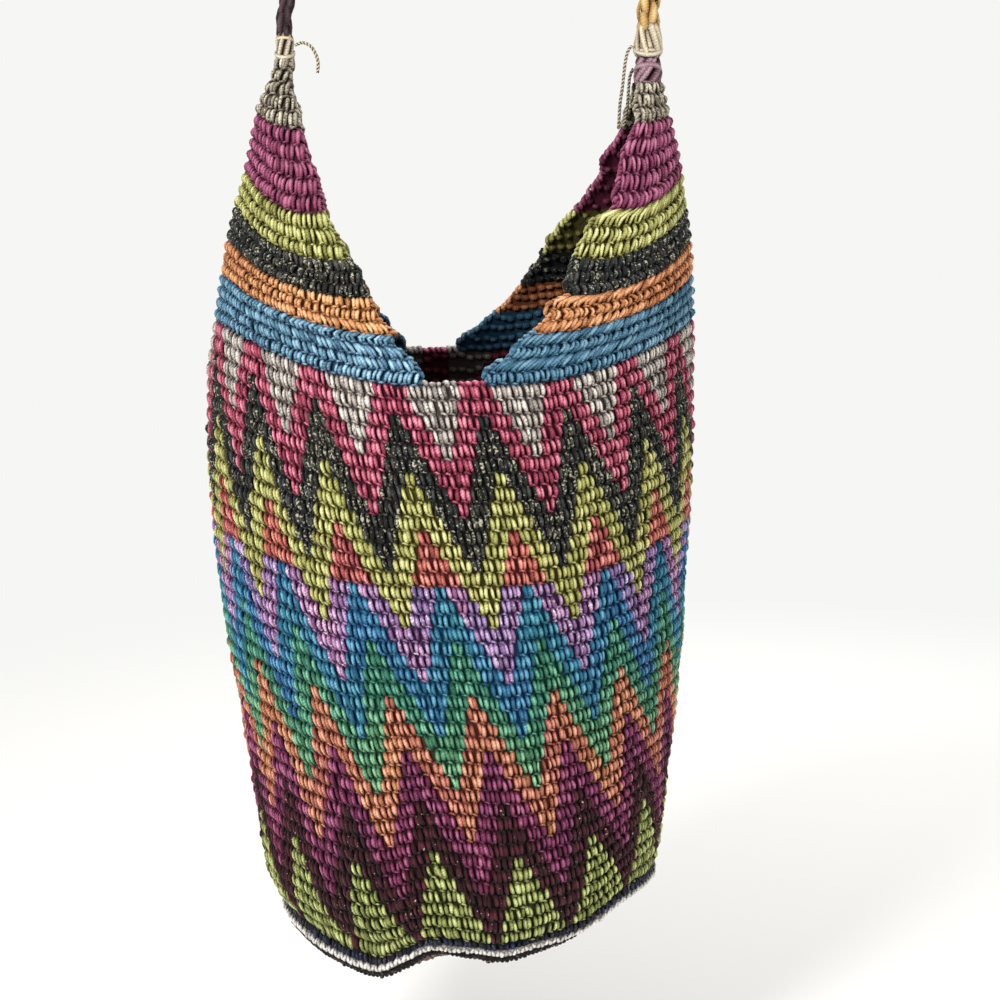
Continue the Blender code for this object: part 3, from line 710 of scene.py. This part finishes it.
# The green fades to a lighter, yellower green lower down.
drift = np.where(wall_yarns == "green", np.clip((down - 21) / 7 + (drift - 0.5) * 0.6, 0, 1), drift)
add_stitches(body, row, column, width, wall_yarns, drift)
for surface, side, (row, column, width) in ((left_horn, -1, left_stitches), (right_horn, 1, right_stitches)):
    # Column 0 is the mouth's front edge, where the handled orange and blue have faded.
    faded = np.clip(1 - column / 0.28, 0, 1) if side < 0 else np.zeros(len(row))
    drift = np.clip(smooth_noise(row, column, 0.5, 9, 5 + side) * 0.5 + faded, 0, 1)
    add_stitches(surface, row, column, width, horn_yarn(row), drift,
                 LEGS_LEANING_LEFT if side < 0 else LEGS_OPEN)
print("yarns worked:", {name: strands.count for name, strands in collected.items()})


# %% [markdown]
# ## The base
#
# The base is a disc worked in rounds, with fewer stitches nearer the middle. A pale chain round marks where
# it turns up into the wall, with one dark round under it.

# %% Base rounds and the pale chain round
def base_stitches():
    places = []
    for ring in range(BASE_RINGS - 1):
        length = run_along(base.at(ring + 0.5, np.linspace(0, 1, 361))[0])[-1]
        count = max(int(round(length / STITCH_WIDTH)), 6)
        column = (np.arange(count) + 0.5 + random.random()) / count % 1
        places.append(np.stack(np.broadcast_arrays(ring, column, 1 / count)))
    return np.concatenate(places, axis=1)


row, column, width = base_stitches()
names = np.where(row < 1, "dark_round", "base_brown").astype(object)
add_stitches(base, row, column, width, names, smooth_noise(row, column, 0.7, 9, 11))


def chain_round(surface, at_row, count, name, half_width, lift, spread):
    """A round of V-shaped loops: two short strands for each loop that meet at its foot."""
    middle = (np.arange(count) + 0.5) / count
    for way in (-1, 1):
        column = middle[:, None] + way * np.linspace(0.46, 0.06, 5) / count
        row = at_row + spread * np.linspace(1, -1, 5) + 0.03 * scatter(count, 1)
        raised = lift + 0.0006 * np.array([-0.4, 0.6, 1, 0.5, -0.6])
        line, out = surface.at(row, column, raised + 0.0002 * scatter(count, 1))
        collected[name].add(line, out, half_width * (1 + 0.1 * scatter(count)), half_width * 0.8,
                            np.clip(0.88 + 0.14 * scatter(count), 0.5, 1.1), random.random(count),
                            random.random(count))


def padding_round(surface, at_row, name, half_width, lift, shade_tone):
    """One long strand that fills the wall behind a round of loops."""
    line, out = surface.at(at_row, np.linspace(0, 1, 241), lift)
    collected[name].add(line, out, half_width, half_width, shade_tone, 0.5, 0.4, ends=np.ones(241))


# The padding strands are darker than their loops: painted shade behind the loops.
padding_round(body, 0.20, "ring_white", 0.0019, 0.0006, 0.40)
chain_round(body, 0.26, 140, "ring_white", 0.00115, 0.0024, 0.28)
padding_round(base, 0.25, "dark_round", 0.0019, 0.0012, 0.7)
chain_round(base, 0.30, 130, "dark_round", 0.0012, 0.0026, 0.25)

# %% [markdown]
# ## The mouth's edge
#
# Where the rounds of a horn end at the mouth, the yarn turns back over the edge. Short strands bent round the
# wall's thickness give that beaded edge, and a strip of painted shade behind them closes the wall.


# %% Edge loops
def bent_loops(point, normal, ahead, outwards, rise, tilt, sunk, names, size, light, brightest, drift):
    """Strands bent over an edge of the wall from outside to inside, each in its own yarn.

    rise and tilt are a middle value and its spread."""
    rise, tilt = (middle + spread * scatter(len(point), 1) for middle, spread in (rise, tilt))
    sweep = np.radians([-115, -55, 0, 50, 100])
    sines, cosines = np.sin(sweep)[None, :, None], np.cos(sweep)
    normal, outwards = normal[:, None], outwards[:, None]
    path = (point[:, None] - normal * WALL / 2 * (1 + sines) + outwards * (cosines * rise - sunk)[:, :, None]
            + ahead[:, None] * (np.linspace(1, -1, 5) * tilt)[:, :, None])
    facing = outwards * cosines[None, :, None] - normal * sines
    for strands, k in by_yarn(names):
        m = int(k.sum())
        strands.add(path[k], facing[k], size[0] * (1 + 0.15 * scatter(m)), size[1],
                    np.clip(light + 0.18 * scatter(m), 0.35, brightest), drift(m), random.random(m))


def close_wall(surface, rows, columns, names):
    """A strip of quads behind the loops, from the outer backing to the lining, in painted shade."""
    outer, inner = (surface.at(rows, columns, -inward)[0] for inward in (BACK_INWARD, LINING_INWARD))
    corners = np.stack([outer[:-1], outer[1:], inner[1:], inner[:-1]], 1)
    for strands, k in by_yarn(names):
        strands.add_cells(corners[k], 0.05, 0.5)


def edge_loops(surface, side, at_column, spacing=0.0034):
    """Loops up the mouth's edge of a horn."""
    rounds = HORN_ROUNDS[side]
    fine = np.linspace(0, rounds - 0.02, 400)
    run = run_along(surface.at(fine, at_column)[0])
    places = np.interp(np.arange(spacing / 2, run[-1], spacing), run, fine)
    point, normal = surface.at(places, at_column)
    ahead = unit(surface.at(places + 0.05, at_column)[0] - point)
    outwards = point - surface.at(places, 0.04 if at_column < 0.5 else 0.96)[0]
    for known in (ahead, normal):
        outwards -= known * (outwards * known).sum(1, keepdims=True)
    bent_loops(point, normal, ahead, unit(outwards), (0.0017, 0.0005), (0.0022, 0.0008), 0.0006,
               horn_yarn(np.floor(places)), (0.0017, 0.0010), 0.78, 1.1,
               lambda m: np.clip(0.5 + 0.3 * scatter(m), 0, 1))
    rows = np.minimum(np.arange(rounds + 1.0), rounds - 0.001)
    close_wall(surface, rows, at_column, horn_yarn(np.arange(rounds)))
    return len(places)


print("edge loops:", sum(edge_loops(surface, side, at) for surface, side in ((left_horn, -1), (right_horn, 1))
                         for at in (0.0, 1.0)))


# %% The rim between the horns
def rim_loops(start, end, spacing=0.0036):
    """Loops over the wall's last round from one turn to another, each in the yarn of the stitch below it."""
    share = np.linspace(start, end, 200) / TURN
    run = run_along(body.at(ROUNDS, share)[0])
    places = np.interp(np.arange(spacing / 2, run[-1], spacing), run, share)
    point, normal = body.at(ROUNDS, places)
    ahead = unit(body.at(ROUNDS, places + 0.002)[0] - point)
    top = wall_stitches[0] == ROUNDS - 1
    near = np.abs((places[:, None] - wall_stitches[1][top] + 0.5) % 1 - 0.5).argmin(axis=1)
    names = wall_yarns[top][near]
    bent_loops(point, normal, ahead, np.tile([0.0, 0.0, 1.0], (len(places), 1)), (0.0020, 0.0006),
               (0.0018, 0.0006), 0.0004, names, (0.0018, 0.0011), 0.85, 1.15, random.random)
    ends = np.append(places, places[-1] * 2 - places[-2]) - (places[1] - places[0]) / 2
    close_wall(body, ROUNDS, ends, names)
    return len(places)


left_edge, right_edge = (float(edge_angle(np.array([1.0]), side)[0]) for side in (-1, 1))
front_rim = rim_loops(-(math.pi / 2 - left_edge), math.pi / 2 - right_edge)
back_rim = rim_loops(math.pi / 2 + right_edge, 3 * math.pi / 2 - left_edge)
print("rim loops:", front_rim, "in front and", back_rim, "behind")


# %% Build the yarn pieces
def add_piece(strands, name, material, node=None):
    """Builds one piece from its strands and ties it to the part's frame."""
    piece = strands.build(name, material)
    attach(piece, "root")
    if node:
        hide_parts(node)
    return piece


cloth = [add_piece(strands, "cloth_" + name, yarns[name])
         for name, strands in collected.items()]
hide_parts("bag_body")
print("triangles in the cloth:", sum(len(piece.data.polygons) * 2 for piece in cloth))

# %% [markdown]
# ## The strap
#
# The strap is a narrow crocheted cord: pointed loops in columns that lean towards each other like leaves. Its
# yarn is a violet brown at the left and turns to tan at the right.


# %% Strap and its route
def smooth_route(points, step):
    """Points every `step` metres on a smooth curve through the route's own points, ends included."""
    route = np.array([2 * points[0] - points[1], *points, 2 * points[-1] - points[-2]])
    a, b, c, d = (route[i:len(route) - 3 + i, None] for i in range(4))
    t = np.linspace(0, 1, 24, endpoint=False)[:, None]
    fine = 0.5 * (2 * b + (c - a) * t + (2 * a - 5 * b + 4 * c - d) * t ** 2
                  + (3 * b - a - 3 * c + d) * t ** 3)
    fine = np.concatenate([fine.reshape(-1, 3), points[-1:]])
    run = run_along(fine)
    marks = np.linspace(0, run[-1], int(round(run[-1] / step)) + 1)
    return np.stack([np.interp(marks, run, fine[:, axis]) for axis in range(3)], axis=1), run[-1]


# The strap's middle line in mm, from the left horn over the top to the right one
STRAP_ROUTE = [
    (-83.4, -8.8, 205), (-81, -8.1, 230), (-78.8, -7.4, 256), (-76.5, -6.6, 282), (-74, -5.8, 308),
    (-70.6, -4.9, 334), (-65.2, -3.9, 359), (-56.5, -2.9, 383), (-43.5, -1.9, 405), (-26.2, -1, 422),
    (-7, -0.3, 433.5), (12, 0, 438), (31.2, 0.6, 434.5), (50, 1.4, 423), (67.2, 2.4, 406), (80.6, 3.5, 384),
    (90, 4.6, 359), (96.3, 5.6, 332), (100.2, 6.6, 305), (102.8, 7.5, 278), (104.6, 8.3, 251),
    (105.8, 8.9, 226), (106.4, 9.3, 203),
]
STRAP_LEFT_RADIUS, STRAP_RIGHT_RADIUS = 0.0042, 0.0062


def node_axis(node):
    """The middle of a node's plan, and its lowest and highest point."""
    low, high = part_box(node)
    return np.array([(low.x + high.x) / 2, (low.y + high.y) / 2]), low.z, high.z


def top_middle(node, gap=0.0003):
    middle, _, high = node_axis(node)
    return np.array([*middle, high + gap])


strap_left, strap_right = top_middle("left_wrap"), top_middle("right_knot")
lead = np.array([0, 0, 0.010])
hung_route = np.array(STRAP_ROUTE) / 1000 - HANG
strap_points = np.array([strap_left, strap_left + lead, *hung_route, strap_right + lead, strap_right])
strap_path, strap_length = smooth_route(strap_points, 0.002)
print("strap length", round(strap_length, 4))





FULL_CIRCLE = np.radians(np.arange(-180, 181, 45))
LEAF_ENDS = np.array([0.34, 0.90, 1.0, 0.85, 0.30])


def leaves(path, radius, pitch, columns, drift, leaf=1.55, lean=0.30, fat=0.43):
    """Pointed loops round a cord. Columns lean in pairs, so that each pair looks like a row of leaves."""
    strands, tangent = Strands(), unit(np.gradient(path, axis=0))
    forward = unit(np.array([0, -1.0, 0]) + tangent * tangent[:, 1:2])
    sideways = np.cross(tangent, forward)
    run = run_along(path)
    count = int(run[-1] / pitch) + 1
    stations = np.linspace(-0.5, 0.5, 5)
    # The half size of the core is 1 here, so its ends give the radius in metres.
    strands.add(path, forward, 1, 1, 1, drift[len(path) // 2], 0, radius * 0.66, FULL_CIRCLE)
    for i in range(columns):
        way = 1 if i % 2 else -1
        s = (np.arange(count) + 0.5 * (i % 2) + 0.10 * scatter(count)) * pitch
        place = np.clip(s[:, None] + stations * pitch * leaf, 0, run[-1])
        turn = (TURN * (i + 0.5) / columns + way * lean * stations * 2
                + 0.08 * scatter(count, 1))[..., None]
        r = np.interp(place, run, radius) * (0.62 + 0.18 * np.array([-1.0, 0.4, 1.0, 0.7, -0.4]))
        centre, side, front = (np.stack([np.interp(place, run, table[:, k]) for k in range(3)], -1)
                               for table in (path, sideways, forward))
        out = side * np.sin(turn) + front * np.cos(turn)
        half = np.interp(s, run, radius) * fat
        strands.add(centre + out * r[..., None], out, half, half * 0.62,
                    np.clip(0.82 + 0.18 * scatter(count), 0.4, 1.1),
                    np.interp(s, run, drift), random.random(count), LEAF_ENDS)
    return strands


strap_yarn = yarn_material("strap_cotton_yarn", "#1E1115 #3C2B30 #64505A", "#8A6230 #CFA96C #FFE3AC")
along_strap = np.linspace(0, 1, len(strap_path))
strap_radius = STRAP_LEFT_RADIUS + (STRAP_RIGHT_RADIUS - STRAP_LEFT_RADIUS) * along_strap
loops = leaves(strap_path, strap_radius, 0.0105, 6, ease((along_strap - 0.35) / 0.3))
strap = add_piece(loops, "strap_cord", strap_yarn, "strap")

# %% [markdown]
# ## Ties and loose ends
#
# A few turns of cream yarn bind the strap's left joint. The right one has a plum lashing with a knot above
# it, and loose plied ends hang from both.


# %% Tie builders
def round_line(centre, radius, angle, height):
    """A line of points round an upright axis, with its outward directions."""
    out = np.stack([np.cos(angle), np.sin(angle), np.zeros_like(angle)], -1)
    return np.stack([*(centre[:, None] + radius * out[:, :2].T), height], -1), out


def bundle(strands, centre, low, high, profile, count, twist, half_width, drift, spread=0.12, light=0.82):
    """Fat plies that run up a joint side by side, with a slow twist, and follow its swelling profile."""
    t = np.linspace(0, 1, 13)
    for i in range(count):
        wander = spread * scatter(3)
        angle = TURN * i / count + twist * t + wander[0] + 0.25 * wander[1] * np.sin(TURN * t)
        radius = along(profile, t) * (1 + 0.3 * wander[2] * np.sin(math.pi * t))
        strands.add(*round_line(centre, radius, angle, low + (high - low) * t), half_width * (1 + wander[0]),
                    half_width * 0.8, light + 0.6 * wander[1], np.clip(drift + wander[2] * 2, 0, 1),
                    random.random(), tapered(13, 0.35, 0.75), FULL_CIRCLE)


def loop_round(strands, centre, height, radius, slant, half_width, drift, start=0.0, turns=1.15, light=0.82):
    """A slanted turn of yarn round a joint."""
    angle = start + TURN * np.linspace(0, turns, 33)
    strands.add(*round_line(centre, radius, angle, height + slant * np.sin(angle)), half_width,
                half_width * 0.8, light, drift, random.random(), tapered(33, 0.4, 0.8), FULL_CIRCLE)


def core(strands, centre, low, high, profile, light=0.0):
    """The inside of a joint, so that nothing shows through between its plies. At its default light level of 0
    it is painted shade, the yarn's deepest colour.
    """
    t = np.linspace(0, 1, 9)
    thick = max(radius for _, radius in profile)
    line = np.stack([*np.broadcast_arrays(*centre, t)[:2], low + (high - low) * t], -1)
    strands.add(line, np.tile([0, -1.0, 0], (9, 1)), thick, thick, light, 0.5, 0,
                along(profile, t) / thick, FULL_CIRCLE)


# %% The cream tie at the left
cream_yarn = yarn_material("cream_cotton_yarn", "#352C22 #9C907C #EFE6D2", "#4A3A2A #B09A78 #FAEBCB")
plum_yarn = yarn_material("plum_lashing_yarn", "#220F14 #6D4A56 #C8A6AE", "#12060E #35202E #6A4A58")
centre, low, high = node_axis("left_wrap")
tie = Strands()
core(tie, centre, low - 0.004, high + 0.002, [(0, 0.0036), (1, 0.0030)])
bundle(tie, centre, low - 0.0075, high + 0.002, [(0, 0.0044), (0.45, 0.0036), (0.8, 0.0036), (1, 0.0028)],
       7, 1.3, 0.0016, 0.1)
loop_round(tie, centre, low + 0.0015, 0.0046, 0.0022, 0.0013, 0.3, 0.5)
loop_round(tie, centre, high - 0.0026, 0.0042, -0.0016, 0.0010, 0.9, 2.0)
add_piece(tie, "left_cream_tie", cream_yarn, "left_wrap")

# %% The plum lashing and the knot at the right
centre, low, high = node_axis("right_lashing")
tie = Strands()
core(tie, centre, low - 0.003, high + 0.002, [(0, 0.0060), (0.5, 0.0052), (1, 0.0044)])
bundle(tie, centre, low - 0.003, high + 0.002, [(0, 0.0056), (0.3, 0.0062), (0.7, 0.0056), (1, 0.0042)],
       8, 2.0, 0.0021, 0.35, spread=0.16)
for share, radius, slant, width, drift in ((0.10, 0.0060, 0.0026, 0.0016, 0.0),
                                           (0.45, 0.0062, -0.0030, 0.0018, 0.1),
                                           (0.80, 0.0056, 0.0022, 0.0015, 0.7)):
    loop_round(tie, centre, low + (high - low) * share, radius, slant, width, drift, 6 * share,
               light=0.75 + 0.15 * (1 - drift))
add_piece(tie, "right_plum_lashing", plum_yarn, "right_lashing")
centre, low, high = node_axis("right_knot")
tie = Strands()
core(tie, centre, low - 0.002, high + 0.006, [(0, 0.0045), (0.3, 0.0066), (0.6, 0.0056), (1, 0.0045)], 0.8)
bundle(tie, centre, low - 0.0015, high + 0.006,
       [(0, 0.0044), (0.25, 0.0066), (0.5, 0.0062), (0.8, 0.005), (1, 0.0046)], 9, -0.9, 0.0021, 0.8,
       light=0.9)
loop_round(tie, centre, low + 0.0045, 0.0070, 0.0036, 0.0015, 0.2, 0.4, 1.0)
loop_round(tie, centre, low + 0.0020, 0.0064, -0.0014, 0.0012, 0.6, 2.4, 1.05)
add_piece(tie, "right_cream_knot", cream_yarn, "right_knot")


# %% Loose ends
# For each end: its node, the node it comes from, where it starts there, whether it is a cord, its route in mm
TAILS = [
    ("left_tail", "left_wrap", (0.0055, -0.001, 0.55), False,
     [(0, 0, 0), (4, -2, 1.2), (8.3, -4, -0.5), (11.2, -5.2, -4.5), (12.6, -5.6, -9.5), (12.2, -5.5, -14.5)]),
    ("right_tail", "right_knot", (-0.0087, -0.002, 0.45), True,
     [(0, 0, 0), (-2.2, -1, -3), (-3.6, -1.8, -9), (-4.4, -2.2, -16), (-5.2, -2.5, -23), (-6.2, -2.6, -30),
      (-6.6, -2.6, -37), (-7, -2.8, -44)]),
    ("right_short_tail", "right_lashing", (-0.0077, 0.002, 0.55), True,
     [(0, 0, 0), (-1.6, 1.2, -4), (-2.2, 1.8, -10), (-2.6, 2, -17), (-3.4, 1.8, -24), (-4.6, 1.6, -31)]),
]
TAIL_RADIUS = 0.0010


def two_plies(path, pitch=0.0042):
    """A plied yarn: two strands that wind round each other along a path."""
    strands, tangent = Strands(), unit(np.gradient(path, axis=0))
    across = unit(np.cross(tangent, np.array([0.2, 1.0, 0.1])))
    other = np.cross(tangent, across)
    for share in (0, 0.5):
        angle = TURN * (run_along(path) / pitch + share)
        out = across * np.cos(angle)[:, None] + other * np.sin(angle)[:, None]
        strands.add(path + out * TAIL_RADIUS * 0.45, out, TAIL_RADIUS * 0.62, TAIL_RADIUS * 0.55, 0.85, 0.4,
                    0.2, tapered(len(path), 0.6), np.radians(np.arange(-180, 181, 60)))
    return strands


for node, source, (x, y, share), is_cord, route in TAILS:
    middle, low, high = node_axis(source)
    start = np.array([middle[0] + x, middle[1] + y, low + (high - low) * share])
    path, run_length = smooth_route(start + np.array(route) / 1000, 0.0006)
    piece = add_piece(two_plies(path), node + "_yarn", cream_yarn, node)
    print(node, "length", round(float(run_length), 4))

# %% [markdown]
# ## Studio
#
# A pale round floor takes the soft shadow. Towards its rim it turns into the world's own white, so that no
# horizon shows. A big soft lamp at the upper left gives the yarn its round shading, with three weaker ones.


# %% Floor that fades into white
FLOOR_Z, FLOOR_RADIUS, FLOOR_CORNERS, FADE_FROM, FADE_TO = -0.84, 1.6, 96, 0.35, 1.45
BACKGROUND = "#F6F6F4"


def seen_plainly(tree):
    """1 for the camera's own rays and for those that are mirrored or come through something, else 0."""
    rays = add_node(tree, "LightPath").outputs
    camera_or_glossy = add_math(tree, "MAXIMUM", rays["Is Camera Ray"], rays["Is Glossy Ray"])
    return add_math(tree, "MAXIMUM", camera_or_glossy, rays["Is Transmission Ray"])


floor_paper = bpy.data.materials.new("matt_paper_floor")
floor_paper.use_nodes = True
tree = floor_paper.node_tree
paper = tree.nodes["Principled BSDF"]
fill_inputs(tree, paper, {"Base Color": linear("#F2F1EE"), "Roughness": 0.9})
place = add_node(tree, "TexCoord").outputs["Object"]
distance = add_node(tree, "VectorMath", {0: place}, operation="LENGTH").outputs["Value"]
share = add_math(tree, "MULTIPLY", seen_plainly(tree), add_smooth_step(tree, distance, FADE_FROM, FADE_TO))
white = add_node(tree, "Emission", {"Color": linear(BACKGROUND), "Strength": 1.0})
blend = add_node(tree, "MixShader", {0: share, 1: paper.outputs[0], 2: white.outputs[0]})
tree.links.new(blend.outputs[0], tree.nodes["Material Output"].inputs["Surface"])
angles = np.linspace(0, TURN, FLOOR_CORNERS, endpoint=False)
rim = [(FLOOR_RADIUS * math.cos(a), FLOOR_RADIUS * math.sin(a), 0.0) for a in angles]
disc = bpy.data.meshes.new("floor")
disc.from_pydata(rim, [], [tuple(range(FLOOR_CORNERS))])
disc.materials.append(floor_paper)
floor = add_object("floor", disc)
floor.location = (0, 0, FLOOR_Z)


# %% Lamps and world
AIM_Z = -0.5


def soft_lamp(name, at, size, watts):
    """A round lamp that points at the middle of the bag."""
    lamp = add_object(name, bpy.data.lights.new(name, "AREA"))
    lamp.data.shape, lamp.data.size, lamp.data.energy = "DISK", size, watts
    lamp.location = at
    x, y, down = -at[0], -at[1], at[2] - AIM_Z
    lamp.rotation_euler = (math.atan2(math.hypot(x, y), down), 0, math.atan2(y, x) - math.pi / 2)


soft_lamp("key", (-1.0, -1.5, 0.6), 0.6, 34)
soft_lamp("fill", (1.5, -1.2, -0.1), 1.2, 9)
soft_lamp("top", (0.2, 0.6, 1.2), 1.0, 14)
soft_lamp("back", (0.6, 1.8, 0.2), 1.2, 16)
world = bpy.data.worlds.new("world")
world.use_nodes = True
tree = world.node_tree
soft = tree.nodes["Background"]
fill_inputs(tree, soft, {"Color": linear("#F4F4F2"), "Strength": 0.45})
bright = add_node(tree, "Background", {"Color": linear(BACKGROUND), "Strength": 1.0})
blend = add_node(tree, "MixShader", {0: seen_plainly(tree), 1: soft.outputs[0], 2: bright.outputs[0]})
tree.links.new(blend.outputs[0], tree.nodes["World Output"].inputs["Surface"])
bpy.context.scene.world = world
bpy.context.scene.view_settings.view_transform = "Standard"
